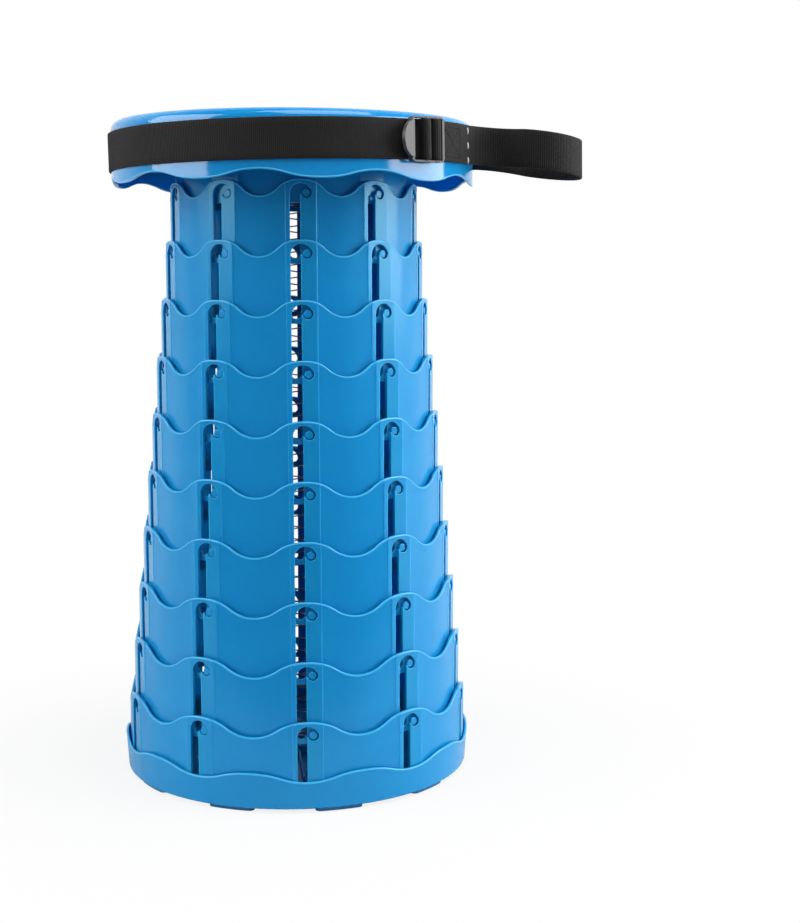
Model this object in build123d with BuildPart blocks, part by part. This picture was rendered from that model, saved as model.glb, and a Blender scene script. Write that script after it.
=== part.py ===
from build123d import *

import os
from math import acos, atan2, cos, degrees, hypot, pi, radians, sin, sqrt, tan

# Telescopic stool: ten wavy rings hang from one another by pins in hooked slots, and drop
# into the base tray when the stool is folded. Millimetres, +Z up, the floor at Z = 0 and the
# stool's axis on Z. Angles run from the front (-Y) towards the right (+X).

# Rings and their spacing
ring_count = 10
column_count = 10
travel = 38.5             # drop of each ring into the next when folded
sleeve_radius = 80.6      # outside of the seat's own sleeve
ring_step = 3.77          # growth of the radius from one ring to the next
ring_wall = 1.8
column_angle = 3.25       # first column of slots, just right of the front
crest_rise = 8.5          # wavy top edge above the hook's pin, over the columns
trough_rise = -2.0        # the same edge, between the columns
wave_level = 2.0          # half of the level stretch on the end of each wave
wave_overlap = 0.2        # of neighbouring waves

# Slots, hooks and pins
slot_width = 6.6
hook_offset = 7.3         # from the slot's middle to the pin in its hook
hook_drop = 1.0           # middle of the hook's arch below the pin's middle
pin_diameter = 6.2
pin_rise = 6.5            # pin above its ring's lower edge
pin_chamfer = 0.4
pin_clearance = 0.3       # beside the pin's way, and from its tip to the strip before it
hook_clearance = 0.45     # round the pin where it hangs
strip_wall = 0.8          # wall left in front of the pin's way down
pad_width = 20.0          # flat pad that frames each slot
pad_raise = 0.4           # pad's middle above the ring's wall
pad_step = 0.3            # fine step at the pad's sides, which then slope into the wall

# Base tray
foot_height = 2.6
foot_width = 7.0
foot_inset = 6.45         # tray's lower edge to the middle of the feet
foot_sweep = 15.9         # degrees round the axis
foot_lead = 10.4          # degrees from a column to the next foot
floor_wall = 3.2
fold_gap = 0.5            # left under each ring when folded
tray_wall = 1.5
tray_flare = 1.6
tray_fit = 0.15
rim_crest = 26.5          # wavy rim, above the floor
rim_trough = 20.9
rib_height = 4.0
rib_wall = 1.6

# Seat
seat_radius = 123.5
seat_wall = 1.6
seat_plate = 2.4
seat_edge = 6.5
seat_gap = 0.4            # over the ring crests when folded
skirt_drop = 42.7         # seat top to the skirt's lobes
skirt_wave = 5.2
skirt_lead = 4.55         # degrees from a column to the next lobe
locator_height = 4.0
locator_wall = 1.6
locator_fit = 0.15

# Cap in the middle of the seat
cap_radius = 59.5
cap_fit = 0.45
cap_rim = 1.6
cap_plate = 3.0
cap_ledge = 3.6
cap_ledge_wall = 2.0
finger_hole = 23.5
finger_spacing = 54.7
finger_edge = 0.8
oval_length = 92.0
oval_width = 50.0
oval_line = 0.8
oval_depth = 0.3
holes_turn = -4.0         # degrees

# Spring
spring_radius = 9.6
spring_wire = 0.9
spring_turns = 49
spring_lead = 1.0         # rise of each end before the coils
cup_fit = 0.5
cup_wall = 1.6
cup_height = 6.0

# Webbing, buckles and carry handle
strap_width = 25.4
strap_thickness = 1.4
strap_top_drop = 7.9      # seat top to the strap's upper edge
strap_fit = 0.35          # round the seat's side
strap_tilt = 1.0          # degrees, up at the handle's side
web_fit = 0.15            # round the buckles' bars and beside the webbing
handle_angle = 82.0
buckle_reach = 93.0       # along the seat's side from the handle's middle to a buckle
buckle_length = 37.5
buckle_tab = 9.5
buckle_rail = 2.0
buckle_thickness = 4.0
buckle_rise = 2.7
buckle_corner = 3.6
tab_thickness = 2.2
tab_lift = 14.0           # degrees
bar_radius = 2.4
bar_spacing = 8.6
bar_margin = 6.4          # frame's outer end to the fixed bar
bar_rise = 4.6
tack_reach = 35.0         # along the seat's side from the handle's middle to its loop's foot
tack_overlap = 3.0        # loop's end within the doubled webbing
loop_reach = 72.0
loop_width = 55.0
loop_waist = 32.0
loop_droop = 4.0          # degrees

# Worked out from the sizes above
front_turn = -90          # from a sketch's X axis to the stool's front
outward_turn = 90         # from a plan's X axis to straight outwards
column_step = 360 / column_count
columns = [column_angle + column_step * n for n in range(column_count)]
ring_floor = foot_height + floor_wall + fold_gap
hook_rise = pin_rise + travel
hook_radius = (hook_offset + slot_width) / 2
ring_height = hook_rise + crest_rise
plate_under = ring_floor + ring_height + seat_gap + ring_count * travel
seat_top = plate_under + seat_plate
last_radius = sleeve_radius + ring_count * ring_step
tray_inner = last_radius + tray_fit
tray_bottom_outer = tray_inner + tray_wall
foot_radius = tray_bottom_outer - foot_inset
floor_top = foot_height + floor_wall
cup_radius = spring_radius + spring_wire / 2 + cup_fit
sleeve_inner = sleeve_radius - ring_wall
strap_middle = seat_top - strap_top_drop - strap_width / 2
strap_inner = seat_radius + strap_fit
wrap_inner = bar_radius + web_fit
wrap_outer = wrap_inner + strap_thickness
leg_foot = 0.7 * strap_thickness


def ring_radius(ring):
    """Outside radius of a ring, counted from the seat's sleeve as ring 0."""
    return sleeve_radius + ring * ring_step


def ring_bottom(ring):
    """Height of a ring's lower edge with the stool opened."""
    return ring_floor + (ring_count - ring) * travel


def facing(angle, distance, height):
    """Upright plane that looks out from the axis: x to the right, y up, z outwards."""
    turn = radians(angle)
    outward = Vector(sin(turn), -cos(turn), 0)
    origin = outward * distance + Vector(0, 0, height)
    return Plane(origin=origin, x_dir=(cos(turn), sin(turn), 0), z_dir=outward)


def plan_at(angle, distance, height):
    """Level plane seen from above the wall: x along the wall to the right, y outwards."""
    upright = facing(angle, distance, height)
    return Plane(origin=upright.origin, x_dir=upright.x_dir, z_dir=(0, 0, -1))


def wave_profile(half_width, middle, end, beyond):
    """Closed face between one wave of an edge and a line beyond it, in the current sketch."""
    side = half_width + wave_overlap
    foot = half_width - wave_level
    rise = (middle + end) / 2
    with BuildLine() as outline:
        Polyline((-foot, end), (-side, end), (-side, beyond), (side, beyond), (side, end), (foot, end))
        TangentArc((-foot, end), (-foot / 2, rise), tangent=(1, 0))
        TangentArc((0, middle), (-foot / 2, rise), tangent=(-1, 0))
        TangentArc((0, middle), (foot / 2, rise), tangent=(1, 0))
        TangentArc((foot, end), (foot / 2, rise), tangent=(-1, 0))
    make_face(outline.edges())


def wave_planes(angles, radius, wall, height):
    """Planes for waves centred on the angles, just inside the wall that they cut."""
    inner = radius * cos(pi / column_count) - wall
    return [facing(angle, inner - wall, height) for angle in angles]


def wave_half_width(radius):
    """Half the width of one wave, seen along the radius through its middle."""
    return radius * sin(pi / column_count)


def pad_corners(radius):
    """Corners of a flat pad that runs out into a ring's wall, x outwards and y along the wall."""
    side = pad_width / 2
    face = radius + pad_raise
    step = face - pad_step
    turn = atan2(side, step) + acos(radius / hypot(side, step))
    half = [(face, side), (step, side), (radius * cos(turn), radius * sin(turn))]
    return half + [(x, -y) for x, y in reversed(half)]


def add_pads_and_pins(ring, bottom, height, pin_tip):
    """Blank of a ring with its flat pads, and its pins unless the tip is None."""
    radius = ring_radius(ring)
    with BuildSketch(Plane.XY.offset(bottom)) as blank:
        Circle(radius)
        with PolarLocations(0, column_count, column_angle + front_turn):
            Polygon(*pad_corners(radius), align=None)
        Circle(radius - ring_wall, mode=Mode.SUBTRACT)
    extrude(blank.sketch, amount=height)
    if pin_tip is None:
        return
    pin_root = radius + pad_raise - strip_wall / 2
    shank = pin_tip - pin_chamfer - pin_root
    roots = [facing(angle, pin_root, bottom + pin_rise) for angle in columns]
    with BuildSketch(*roots) as shanks:
        with Locations((hook_offset / 2, 0)):
            Circle(pin_diameter / 2)
    extrude(shanks.sketch, amount=shank)
    with BuildSketch(*[plane.offset(shank) for plane in roots]) as shoulders:
        with Locations((hook_offset / 2, 0)):
            Circle(pin_diameter / 2)
    extrude(shoulders.sketch, amount=pin_chamfer, taper=45)


def pin_tip_in(ring):
    """Distance from the axis to the tips of the pins that run in a ring."""
    return ring_radius(ring) + pad_raise - strip_wall - pin_clearance


def cut_slots(ring, bottom):
    """Hooked slots through the wall, and the way down behind the strip beside each slot."""
    radius = ring_radius(ring)
    depth = 2 * (ring_wall + pad_raise)
    inside = radius - depth
    way_width = pin_diameter + 2 * pin_clearance
    with BuildSketch(*[facing(angle, inside, bottom) for angle in columns]) as windows:
        with Locations((-hook_offset / 2, pin_rise + (travel - hook_drop) / 2)):
            SlotCenterToCenter(travel - hook_drop, slot_width, rotation=90)
        arch_middle = hook_rise - hook_drop
        with BuildLine():
            CenterArc((0, arch_middle), hook_radius, 0, 180)
            Line((-hook_radius, arch_middle), (hook_radius, arch_middle))
        make_face()
        with Locations((hook_offset / 2, hook_rise)):
            Circle(pin_diameter / 2 + hook_clearance)
    extrude(windows.sketch, amount=2 * depth, mode=Mode.SUBTRACT)
    way_depth = depth + pad_raise - strip_wall
    with BuildSketch(Plane.XY.offset(bottom)) as ways:
        with PolarLocations(inside + way_depth / 2, column_count, column_angle + front_turn):
            with Locations((0, hook_offset / 2)):
                Rectangle(way_depth, way_width)
    extrude(ways.sketch, amount=hook_rise, mode=Mode.SUBTRACT)


def cut_wavy_top(ring, bottom):
    """Trim a ring's blank to its wavy upper edge, high over the columns."""
    reach = hypot(ring_radius(ring) + pad_raise, pad_width / 2)
    wall = ring_wall + pad_raise
    troughs = [angle + column_step / 2 for angle in columns]
    with BuildSketch(*wave_planes(troughs, reach, wall, bottom)) as waves:
        wave_profile(wave_half_width(reach), hook_rise + trough_rise, ring_height,
                     ring_height + 2 * crest_rise)
    extrude(waves.sketch, amount=reach * (1 - cos(pi / column_count)) + 3 * wall, mode=Mode.SUBTRACT)


os.makedirs("parts", exist_ok=True)

# Rings, from the smallest under the seat to the one that stands in the base tray
for ring in range(1, ring_count + 1):
    bottom = ring_bottom(ring)
    is_last = ring == ring_count
    with BuildPart() as section:
        tip = None if is_last else pin_tip_in(ring + 1)
        add_pads_and_pins(ring, bottom, ring_height + crest_rise, tip)
        cut_wavy_top(ring, bottom)
        cut_slots(ring, bottom)
        if is_last:
            # Plain spigot below the tray's rim
            with BuildSketch(Plane.XY.offset(bottom)):
                Circle(ring_radius(ring) + pad_width)
                Circle(ring_radius(ring), mode=Mode.SUBTRACT)
            extrude(amount=rim_trough - 2 * ring_wall - bottom, mode=Mode.SUBTRACT)
    section.part.label = f"ring_{ring:02d}"
    export_step(section.part, f"parts/{section.part.label}.step")

# Sleeve under the seat, whose pins hang in the first ring
with BuildPart() as seat_sleeve:
    add_pads_and_pins(0, ring_bottom(0), plate_under - ring_bottom(0), pin_tip_in(1))
seat_sleeve.part.label = "seat_sleeve"
export_step(seat_sleeve.part, "parts/seat_sleeve.step")

# Base tray: floor, flared wavy rim, seat for the last ring, spring cup and ribs
tray_top = rim_crest + tray_wall
with BuildPart() as base_tray:
    with BuildSketch(Plane.XZ):
        with BuildLine():
            Polyline(
                (0, foot_height),
                (tray_bottom_outer, foot_height),
                (tray_bottom_outer + tray_flare, tray_top),
                (tray_inner + tray_flare, tray_top),
                (tray_inner, ring_floor),
                (tray_inner - 1.5 * ring_wall, ring_floor),
                (tray_inner - 1.5 * ring_wall, floor_top),
                (0, floor_top),
                close=True,
            )
        make_face()
    revolve(axis=Axis.Z)
    lower_edge = base_tray.edges().filter_by(GeomType.CIRCLE).group_by(Axis.Z)[0]
    fillet(lower_edge, tray_wall * 0.8)
    rim_radius = tray_bottom_outer + tray_flare
    with BuildSketch(*wave_planes(columns, rim_radius, 2 * tray_wall, 0)):
        wave_profile(wave_half_width(rim_radius), rim_trough, rim_crest, tray_top + rim_crest)
    extrude(amount=rim_radius * (1 - cos(pi / column_count)) + 6 * tray_wall, mode=Mode.SUBTRACT)
    with BuildSketch(Plane.XY.offset(floor_top)):
        Circle(cup_radius + cup_wall)
        Circle(cup_radius, mode=Mode.SUBTRACT)
    extrude(amount=cup_height)
    rib_start = cup_radius + cup_wall / 2
    rib_end = sleeve_inner - 2 * ring_wall
    with BuildSketch(Plane.XY.offset(floor_top)):
        with PolarLocations((rib_start + rib_end) / 2, column_count, column_angle + front_turn):
            Rectangle(rib_end - rib_start, rib_wall)
    extrude(amount=rib_height)
base_tray.part.label = "base_tray"
export_step(base_tray.part, "parts/base_tray.step")

# Ten low feet under the tray's edge
with BuildPart() as foot_pads:
    with BuildSketch():
        end_turn = degrees(foot_width / 2 / foot_radius)
        for angle in columns:
            start = angle + foot_lead - foot_sweep / 2 + end_turn + front_turn
            SlotArc(CenterArc((0, 0), foot_radius, start, foot_sweep - 2 * end_turn), foot_width)
    extrude(amount=foot_height)
foot_pads.part.label = "foot_pads"
export_step(foot_pads.part, "parts/foot_pads.step")

# Seat shell: plate with a round edge, wavy skirt, cap ledge and locating rib for the sleeve
skirt_low = seat_top - skirt_drop
cap_hole = cap_radius + cap_fit
ledge_under = seat_top - cap_rim - cap_ledge_wall
edge_start = seat_radius - seat_edge
inner_edge = seat_edge - seat_wall
skirt_inner = seat_radius - seat_wall
locator_outer = sleeve_inner - locator_fit
with BuildPart() as seat_shell:
    with BuildSketch(Plane.XZ):
        with BuildLine():
            Polyline(
                (skirt_inner, plate_under - inner_edge),
                (skirt_inner, skirt_low),
                (seat_radius, skirt_low),
                (seat_radius, seat_top - seat_edge),
            )
            RadiusArc((seat_radius, seat_top - seat_edge), (edge_start, seat_top), -seat_edge)
            Polyline(
                (edge_start, seat_top),
                (cap_hole, seat_top),
                (cap_hole, seat_top - cap_rim),
                (cap_hole - cap_ledge, seat_top - cap_rim),
                (cap_hole - cap_ledge, ledge_under),
                (cap_hole + cap_ledge_wall, ledge_under),
                (cap_hole + cap_ledge_wall, plate_under),
                (locator_outer - locator_wall, plate_under),
                (locator_outer - locator_wall, plate_under - locator_height),
                (locator_outer, plate_under - locator_height),
                (locator_outer, plate_under),
                (skirt_inner - inner_edge, plate_under),
            )
            RadiusArc((skirt_inner - inner_edge, plate_under),
                      (skirt_inner, plate_under - inner_edge), inner_edge)
        make_face()
    revolve(axis=Axis.Z)
    notches = [angle + skirt_lead + column_step / 2 for angle in columns]
    with BuildSketch(*wave_planes(notches, seat_radius, 2 * seat_wall, skirt_low)):
        wave_profile(wave_half_width(seat_radius), skirt_wave, 0, -skirt_wave)
    extrude(amount=seat_radius * (1 - cos(pi / column_count)) + 6 * seat_wall, mode=Mode.SUBTRACT)
seat_shell.part.label = "seat_shell"
export_step(seat_shell.part, "parts/seat_shell.step")

# Cap in the seat: two finger holes inside a fine oval line, and the spring's upper cup
cap_plug = cap_hole - cap_ledge - cap_fit
cap_under = seat_top - cap_plate
with BuildPart() as seat_cap:
    with BuildSketch(Plane.XY.offset(seat_top - cap_rim)):
        Circle(cap_radius)
    extrude(amount=cap_rim)
    with BuildSketch(Plane.XY.offset(cap_under)):
        Circle(cap_plug)
    extrude(amount=cap_plate - cap_rim)
    with BuildSketch(Plane.XY.offset(cap_under)):
        Circle(cup_radius + cup_wall)
        Circle(cup_radius, mode=Mode.SUBTRACT)
    extrude(amount=-cup_height)
    holes_axis = holes_turn + handle_angle
    with BuildSketch(Plane.XY.offset(seat_top).rotated((0, 0, holes_axis))):
        Ellipse(oval_length / 2, oval_width / 2)
        Ellipse(oval_length / 2 - oval_line, oval_width / 2 - oval_line, mode=Mode.SUBTRACT)
    extrude(amount=-oval_depth, mode=Mode.SUBTRACT)
    with BuildSketch(Plane.XY.offset(seat_top).rotated((0, 0, holes_axis))):
        with GridLocations(finger_spacing, 0, 2, 1):
            Circle(finger_hole / 2)
    extrude(amount=-cap_plate, mode=Mode.SUBTRACT)
    hole_rims = seat_cap.edges().filter_by(GeomType.CIRCLE).group_by(Axis.Z)[-1]
    fillet(hole_rims.sort_by(SortBy.RADIUS)[:2], finger_edge)
seat_cap.part.label = "seat_cap"
export_step(seat_cap.part, "parts/seat_cap.step")

# Coil spring from the tray's cup to the cap's: a helix of half-turn biarcs
coil_start = floor_top + spring_wire + spring_lead
coil_end = cap_under - spring_wire - spring_lead
spring_pitch = (coil_end - coil_start) / spring_turns


def coil_point(turn):
    """Point of the coil's middle line after some turns."""
    angle = 2 * pi * turn
    return Vector(spring_radius * cos(angle), spring_radius * sin(angle), coil_start + spring_pitch * turn)


def coil_direction(turn):
    """Direction of the coil's middle line after some turns."""
    angle = 2 * pi * turn
    around = 2 * pi * spring_radius
    return Vector(-around * sin(angle), around * cos(angle), spring_pitch).normalized()


def biarc(start, start_direction, end, end_direction):
    """Two arcs from one point and direction to another, in the current line."""
    chord = end - start
    spread = 2 * (1 - start_direction.dot(end_direction))
    along = chord.dot(start_direction + end_direction)
    reach = (sqrt(along * along + spread * chord.dot(chord)) - along) / spread
    first = start + start_direction * reach
    second = end - end_direction * reach
    middle = (first + second) * 0.5
    TangentArc(start, middle, tangent=start_direction)
    TangentArc(middle, end, tangent=second - first)


up = Vector(0, 0, 1)
end_reach = 0.25
spring_foot = Vector(coil_point(-end_reach).X, coil_point(-end_reach).Y, floor_top)
spring_head = Vector(coil_point(end_reach).X, coil_point(end_reach).Y, cap_under)
half_turns = [step / 2 for step in range(2 * spring_turns + 1)]
with BuildPart() as coil_spring:
    with BuildLine() as coil_line:
        Line(spring_foot, spring_foot + up * spring_wire)
        biarc(spring_foot + up * spring_wire, up, coil_point(0), coil_direction(0))
        for start, end in zip(half_turns, half_turns[1:]):
            biarc(coil_point(start), coil_direction(start), coil_point(end), coil_direction(end))
        biarc(coil_point(spring_turns), coil_direction(spring_turns), spring_head - up * spring_wire, up)
        Line(spring_head - up * spring_wire, spring_head)
    with BuildSketch(Plane(origin=spring_foot, z_dir=(0, 0, 1))):
        Circle(spring_wire / 2)
    sweep(path=coil_line.wires()[0])
coil_spring.part.label = "coil_spring"
export_step(coil_spring.part, "parts/coil_spring.step")
wire_points = [coil_point(step / 24) for step in range(72)]
least_gap = min((a - b).length for a in wire_points[:24] for b in wire_points[40:]) - spring_wire
print(f"spring pitch {spring_pitch:.2f}, least gap to itself {least_gap:.2f}")

# The webbing and its buckles sit a little askew on the seat, up at the handle's side
tilt_axis = Axis((0, 0, strap_middle), facing(handle_angle + 180, 0, 0).x_dir)


def save_tilted(solid, label):
    """Turn a piece of the strap about the tilt's axis and write it out."""
    piece = solid.rotate(tilt_axis, strap_tilt)
    piece.label = label
    export_step(piece, f"parts/{label}.step")


# Ladder-lock buckles: a frame with two bars and a thumb tab, on either side of the handle
buckle_height = strap_width + 2 * (buckle_rail + 2 * web_fit)
frame_length = buckle_length - buckle_tab
frame_right = buckle_length / 2
fixed_bar = frame_right - bar_margin
middle_bar = fixed_bar - bar_spacing
front_buckle = handle_angle - degrees(buckle_reach / seat_radius)
buckle_face = facing(front_buckle, seat_radius, strap_middle)
buckle_plan = plan_at(front_buckle, seat_radius, strap_middle)
handle_mirror = Plane(facing(handle_angle, 0, 0).origin, z_dir=facing(handle_angle, 0, 0).x_dir)
with BuildPart() as buckle_front:
    with BuildSketch(buckle_face.offset(buckle_rise)):
        with Locations((frame_right - frame_length / 2, 0)):
            RectangleRounded(frame_length, buckle_height, buckle_corner)
            Rectangle(frame_length - 2 * buckle_rail, buckle_height - 2 * buckle_rail, mode=Mode.SUBTRACT)
    extrude(amount=buckle_thickness)
    tab_root = frame_right - frame_length + buckle_rail
    tab_half = buckle_height / 2 - buckle_corner
    tab_seat = Location((tab_root, 0, buckle_rise + buckle_thickness - tab_thickness), (0, tab_lift, 0))
    with BuildSketch(buckle_face * tab_seat):
        with BuildLine():
            ThreePointArc((0, tab_half), (-buckle_tab - buckle_rail, 0), (0, -tab_half))
            Line((0, -tab_half), (0, tab_half))
        make_face()
    extrude(amount=tab_thickness)
    with BuildSketch(buckle_plan):
        with Locations((fixed_bar, bar_rise), (middle_bar, bar_rise)):
            Circle(bar_radius)
    extrude(amount=buckle_height / 2 - buckle_rail / 2, both=True)
save_tilted(buckle_front.part, "buckle_front")

with BuildPart() as buckle_rear:
    mirror(buckle_front.part, about=handle_mirror)
save_tilted(buckle_rear.part, "buckle_rear")


def rim_layer(start, end, thickness):
    """Webbing that lies on the seat's side between two angles, in the current sketch."""
    middle = strap_inner + thickness / 2
    with BuildLine() as run:
        CenterArc((0, 0), middle, start + front_turn, end - start)
    trace(run.edges(), line_width=thickness)


def bar_wrap(bar, leg_side):
    """Webbing over a buckle's bar, with one leg down to the rim, in the current sketch."""
    with Locations((bar, bar_rise)):
        Circle(wrap_outer)
        Circle(wrap_inner, mode=Mode.SUBTRACT)
    leg_middle = bar + leg_side * (wrap_inner + strap_thickness / 2)
    with Locations((leg_middle, (bar_rise + leg_foot) / 2)):
        Rectangle(strap_thickness, bar_rise - leg_foot)


def bar_turn(bar):
    """Angle round the axis from the buckle's middle to one of its bars' outer sides."""
    return degrees(bar / seat_radius)


# Band round the seat, from the middle bar of one buckle the long way to the other
band_end = front_buckle + bar_turn(middle_bar - wrap_inner)
band_sweep = 360 - 2 * (handle_angle - band_end)
with BuildPart() as strap_band:
    with BuildSketch(Plane.XY.offset(strap_middle)):
        rim_layer(band_end - band_sweep, band_end, strap_thickness)
    extrude(amount=strap_width / 2, both=True)
    with BuildSketch(buckle_plan):
        bar_wrap(middle_bar, -1)
    extrude(amount=strap_width / 2, both=True)
    mirror(about=handle_mirror)
save_tilted(strap_band.part, "strap_band")

# Carry handle: a drooping loop whose doubled ends lie on the seat's side
handle_end = front_buckle + bar_turn(fixed_bar + wrap_inner)
loop_radius = strap_inner + strap_thickness
tack_lead = degrees(tack_reach / loop_radius)
overlap_turn = degrees(tack_overlap / loop_radius)
loop_plane = plan_at(handle_angle, loop_radius, strap_middle)
loop_foot = (loop_radius * sin(radians(tack_lead)), loop_radius * (cos(radians(tack_lead)) - 1))
waist_x = loop_waist / 2
crown_x = loop_width / 2
crown_y = loop_reach - crown_x
waist_y = loop_foot[1] + (loop_foot[0] - waist_x) / tan(radians((outward_turn - tack_lead) / 2))
leg_middle = ((waist_x + crown_x) / 2, (waist_y + crown_y) / 2)
with BuildPart() as carry_handle:
    with BuildSketch(Plane.XY.offset(strap_middle)):
        rim_layer(handle_end, handle_angle - tack_lead, 2 * strap_thickness)
    extrude(amount=strap_width / 2, both=True)
    with BuildSketch(buckle_plan):
        bar_wrap(fixed_bar, 1)
    extrude(amount=strap_width / 2, both=True)
    mirror(about=handle_mirror)
    with BuildSketch(loop_plane * Location((0, 0, 0), (loop_droop, 0, 0))):
        with BuildLine() as loop_line:
            CenterArc((0, crown_y), crown_x, 0, 180)
            TangentArc((crown_x, crown_y), leg_middle, tangent=(0, -1))
            TangentArc((waist_x, waist_y), leg_middle, tangent=(0, 1))
            TangentArc((waist_x, waist_y), loop_foot, tangent=(0, -1))
            CenterArc((0, -loop_radius), loop_radius, outward_turn - tack_lead - overlap_turn, overlap_turn)
            mirror(about=Plane.YZ)
        trace(loop_line.edges(), line_width=strap_thickness)
    extrude(amount=strap_width / 2, both=True)
save_tilted(carry_handle.part, "carry_handle")
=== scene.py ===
"""Visual model of a telescopic stool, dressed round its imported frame."""

import logging
import math
from dataclasses import dataclass, replace
from enum import Enum
from functools import partial
from typing import Any, Callable, Mapping, Sequence, Union

import bmesh
import bpy
import numpy as np
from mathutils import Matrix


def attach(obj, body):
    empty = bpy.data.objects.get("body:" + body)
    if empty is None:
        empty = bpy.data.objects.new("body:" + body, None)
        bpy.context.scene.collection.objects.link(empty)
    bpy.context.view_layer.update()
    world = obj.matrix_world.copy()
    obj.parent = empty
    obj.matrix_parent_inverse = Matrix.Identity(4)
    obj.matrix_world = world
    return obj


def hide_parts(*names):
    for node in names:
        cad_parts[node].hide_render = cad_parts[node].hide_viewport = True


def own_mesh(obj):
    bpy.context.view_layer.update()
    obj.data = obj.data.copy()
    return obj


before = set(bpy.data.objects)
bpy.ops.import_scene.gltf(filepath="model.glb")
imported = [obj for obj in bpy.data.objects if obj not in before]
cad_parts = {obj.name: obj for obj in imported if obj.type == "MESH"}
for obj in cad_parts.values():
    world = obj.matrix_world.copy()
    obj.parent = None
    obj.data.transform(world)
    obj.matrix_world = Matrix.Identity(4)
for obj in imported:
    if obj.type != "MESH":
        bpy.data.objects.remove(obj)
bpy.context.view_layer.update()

log = logging.getLogger("stool")

MM = 0.001
MERGE_DIGITS = 4  # of a millimetre, to which points of drawn solids are the same
WEBBING_UV = "length_and_width"
UP = np.array([0, 0, 1.0])
Colour = tuple[float, float, float, float]
Number = Union[int, float]
Point = tuple[float, float]


class Body(Enum):
    """Bodies of the frame that new pieces ride on."""

    BASE = "base"
    SEAT = "seat"


class Slot(Enum):
    """Material slots of the record."""

    BLUE = "blue_plastic"
    FOOT = "foot_plastic"
    WEBBING = "black_webbing"
    BUCKLE = "black_plastic"
    WIRE = "spring_wire"


class Field:
    """A socket that can be written in sums; each sum adds its Math nodes."""

    def __init__(self, graph: "Graph", socket: bpy.types.NodeSocket) -> None:
        """Keeps the socket and the graph that it belongs to."""
        self.graph = graph
        self.socket = socket

    def __add__(self, other: Union["Field", Number]) -> "Field":
        """This value plus another."""
        return self.graph.maths("ADD", self, other)

    __radd__ = __add__

    def __sub__(self, other: Union["Field", Number]) -> "Field":
        """This value less another."""
        return self.graph.maths("SUBTRACT", self, other)

    def __rsub__(self, other: Number) -> "Field":
        """A number less this value."""
        return self.graph.maths("SUBTRACT", other, self)

    def __mul__(self, other: Union["Field", Number]) -> "Field":
        """This value times another."""
        return self.graph.maths("MULTIPLY", self, other)

    __rmul__ = __mul__

    def __truediv__(self, other: Union["Field", Number]) -> "Field":
        """This value over another."""
        return self.graph.maths("DIVIDE", self, other)

    def sine(self) -> "Field":
        """Sine of this value."""
        return self.graph.maths("SINE", self)

    def clamped(self) -> "Field":
        """This value kept between 0 and 1."""
        return self.graph.field("ShaderNodeClamp", values={"Value": self})


class Graph:
    """A node tree to which nodes are added one by one."""

    def __init__(self, tree: bpy.types.NodeTree) -> None:
        """Keeps the tree."""
        self.tree = tree

    def node(
        self,
        kind: str,
        settings: Mapping[str, Any] | None = None,
        values: Mapping[Any, Any] | None = None,
    ) -> bpy.types.Node:
        """Adds a node.

        Args:
            kind: The node's type.
            settings: Its own settings, set before its sockets.
            values: Values or fields for its inputs, by name or number.

        Returns:
            The new node.
        """
        node = self.tree.nodes.new(kind)
        for name, value in (settings or {}).items():
            setattr(node, name, value)
        for name, value in (values or {}).items():
            socket = node.inputs[name]
            for item in value if isinstance(value, list) else [value]:
                if isinstance(item, Field):
                    self.tree.links.new(item.socket, socket)
                else:
                    socket.default_value = item
        return node

    def field(
        self,
        kind: str,
        settings: Mapping[str, Any] | None = None,
        values: Mapping[Any, Any] | None = None,
        output: Union[str, int] = 0,
    ) -> Field:
        """Adds a node and gives one of its outputs as a field."""
        return Field(self, self.node(kind, settings, values).outputs[output])

    def maths(self, operation: str, *terms: Union[Field, Number]) -> Field:
        """Adds a Math node on values."""
        return self.field("ShaderNodeMath", {"operation": operation}, dict(enumerate(terms)))

    def noise(self, place: Field, scale: float, detail: float) -> Field:
        """Adds a noise that reads the given place."""
        values = {"Vector": place, "Scale": scale, "Detail": detail}
        return self.field("ShaderNodeTexNoise", values=values)

    def bump(self, height: Field, strength: float, distance: float) -> Field:
        """Adds a bump on the surface's own normal."""
        values = {"Height": height, "Strength": strength, "Distance": distance}
        return self.field("ShaderNodeBump", values=values)

    def blend(self, share: Union[Field, float], first: Any, second: Any) -> Field:
        """Mixes two colours.

        Args:
            share: How much of the second colour shows.
            first: A colour or a field.
            second: A colour or a field.

        Returns:
            The mixed colour.
        """
        sockets = {0: share, 6: first, 7: second}
        return self.field("ShaderNodeMix", {"data_type": "RGBA"}, sockets, output=2)


def blank_graph(owner: Union[bpy.types.Material, bpy.types.World]) -> Graph:
    """Gives a material or a world an empty graph."""
    owner.use_nodes = True
    owner.node_tree.nodes.clear()
    return Graph(owner.node_tree)


class Finish:
    """Common start and end of the finishes' materials."""

    name: str

    def start(self) -> Graph:
        """An empty material of this finish's name, as a graph."""
        return blank_graph(bpy.data.materials.new(self.name))

    def close(self, graph: Graph, shader: Mapping[str, Any]) -> bpy.types.Material:
        """Adds the closing shader.

        Args:
            graph: The finish's graph.
            shader: Values and fields of the shader's sockets.

        Returns:
            The finished material.
        """
        surface = graph.field("ShaderNodeBsdfPrincipled", values=shader)
        graph.node("ShaderNodeOutputMaterial", values={"Surface": surface})
        return bpy.data.materials[self.name]


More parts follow.
